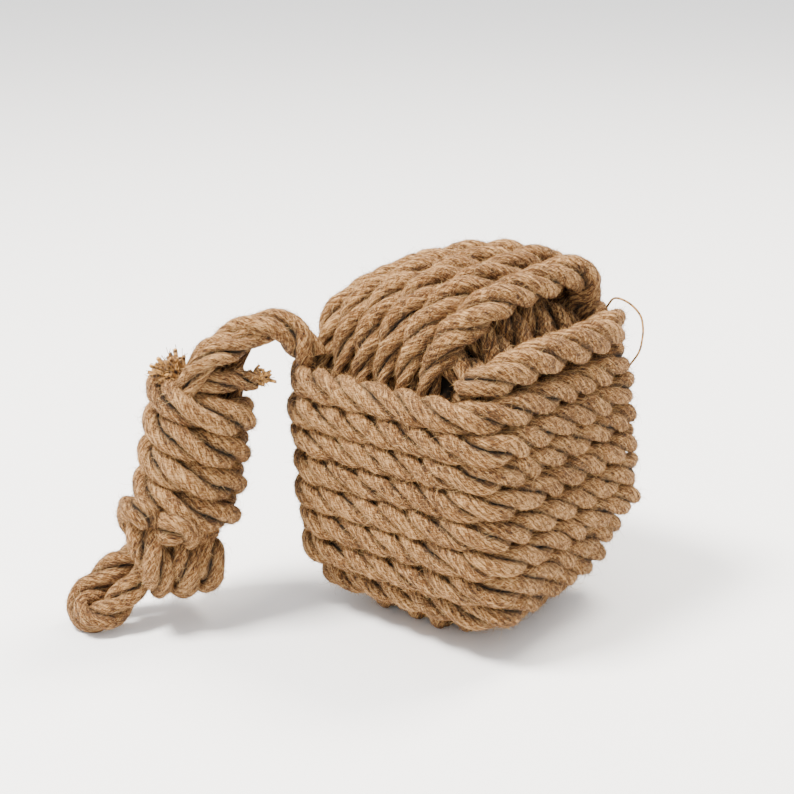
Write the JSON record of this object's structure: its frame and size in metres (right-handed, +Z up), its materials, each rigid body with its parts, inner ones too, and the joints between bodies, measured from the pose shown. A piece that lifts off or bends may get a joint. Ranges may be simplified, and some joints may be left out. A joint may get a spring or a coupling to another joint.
{
  "type": "rope knot doorstop",
  "caption": "Cube-shaped doorstop wound from jute rope over a weighted core, with a wrapped and knotted rope handle hanging at one corner.",
  "frame": {"origin": "on the floor under the middle of the leaning cube, on the flat of one of the bottom loops", "axes": "+Z up; the cube's faces lie along X and Y, and the handle hangs at its corner at -X, -Y"},
  "size_m": [0.1733, 0.1976, 0.1556],
  "materials": {
    "jute_rope": "natural twisted jute, hairy",
    "jute_rope_inner": "natural twisted jute, in shade",
    "jute_fray": "loose cut jute yarns",
    "cast_ballast": "rough cast"
  },
  "bodies": {
    "cube": {"ballast_core": "cast_ballast", "inner_winding": "jute_rope_inner", "top_band_winding": "jute_rope", "girdle_winding": "jute_rope"},
    "neck": {"handle_neck": "jute_rope"},
    "grip": {"grip_wrap": "jute_rope", "grip_leg_near": "jute_rope_inner", "grip_leg_far": "jute_rope_inner", "crown_knot": "jute_rope", "end_loop": "jute_rope", "frayed_end_left": "jute_fray", "frayed_end_right": "jute_fray"}
  },
  "joints": [
    {"name": "neck_lift", "type": "hinge", "parent": "cube", "child": "neck", "pos_m": [-0.0508, -0.0473, 0.11638], "axis": [-0.849, 0.5284, 0], "range_deg": [0, 30]},
    {"name": "grip_swing", "type": "hinge", "parent": "neck", "child": "grip", "pos_m": [-0.07495, -0.08611, 0.109], "axis": [-0.849, 0.5284, 0], "range_deg": [0, 34]}
  ]
}
